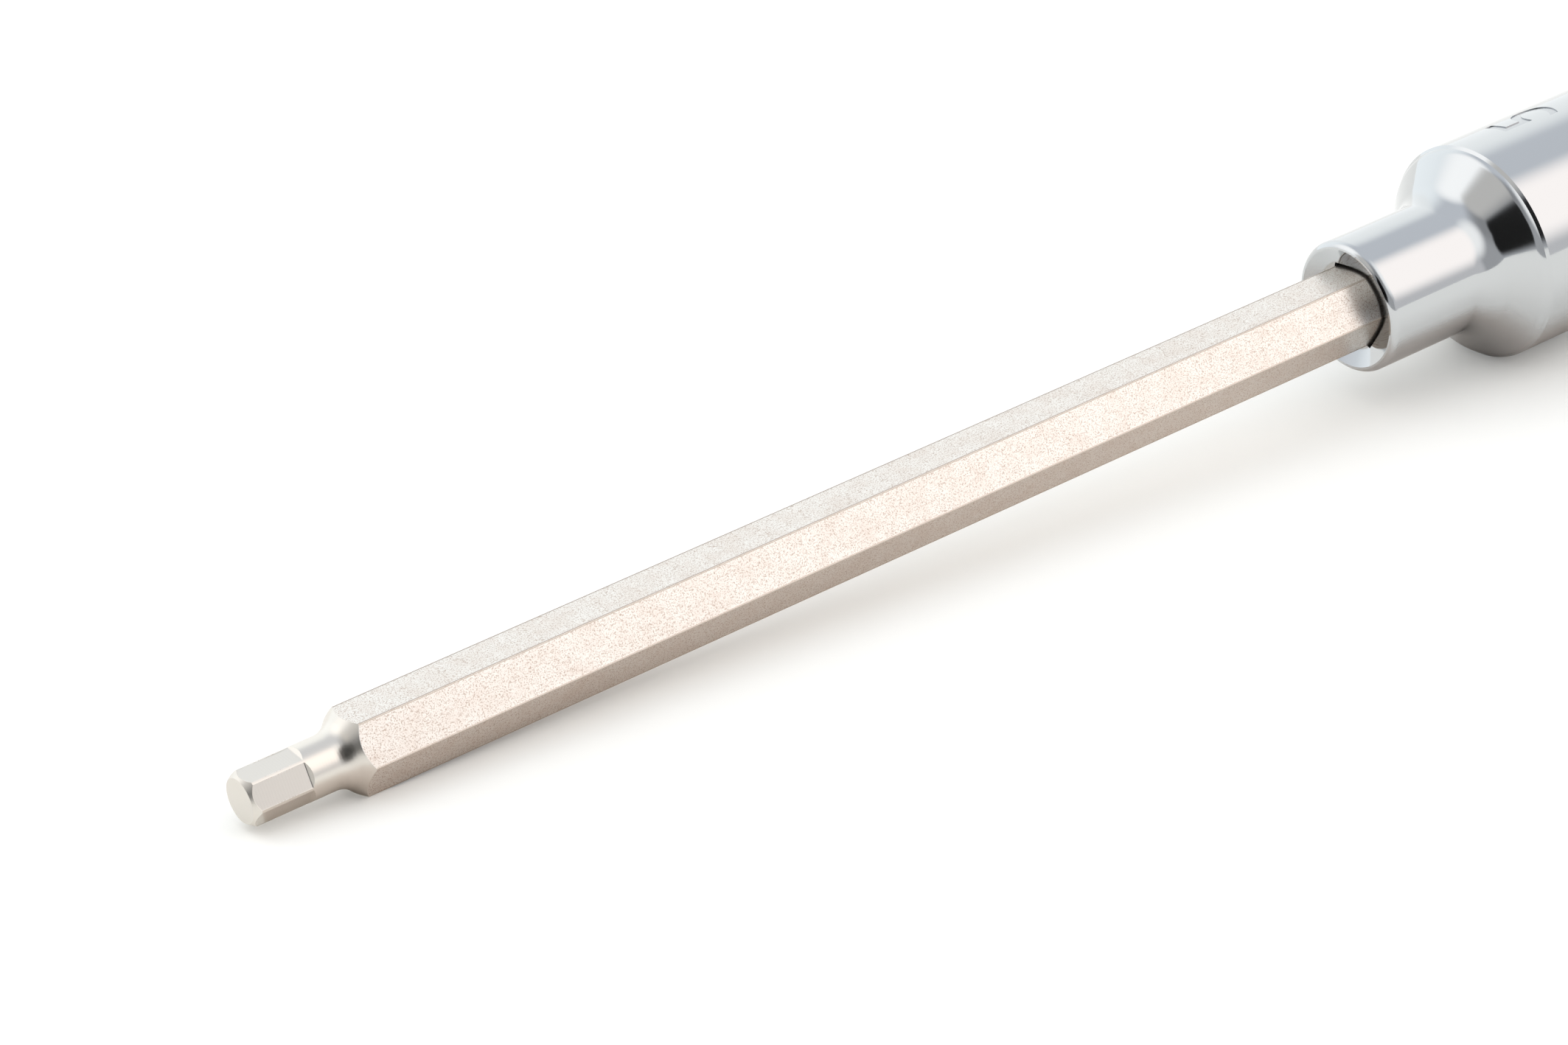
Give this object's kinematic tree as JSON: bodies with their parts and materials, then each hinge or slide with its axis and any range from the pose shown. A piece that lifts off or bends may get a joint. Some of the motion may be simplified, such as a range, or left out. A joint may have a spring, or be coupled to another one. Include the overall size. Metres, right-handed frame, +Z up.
{
  "type": "hex bit socket",
  "caption": "Long hex bit socket: a stepped chromed drive body with a square recess, and a slim hexagon bit with a turned neck and a smaller hexagon tip pressed into its nose.",
  "frame": {"origin": "on the table, under the middle of the lying tool's bounding box", "axes": "+X along the tool from the tip to the drive end, +Z up; the tool's own axis is tilted about 3.2 degrees, because it rests on the edge of its thick end and on one flat of its shank"},
  "size_m": [0.1804, 0.0242, 0.0254],
  "materials": {
    "socket_body": "mirror polished chrome plate",
    "hex_bit": "satin nickel plate with a fine grain"
  },
  "bodies": {
    "root": {"socket_body": "socket_body", "hex_bit": "hex_bit"}
  },
  "joints": []
}
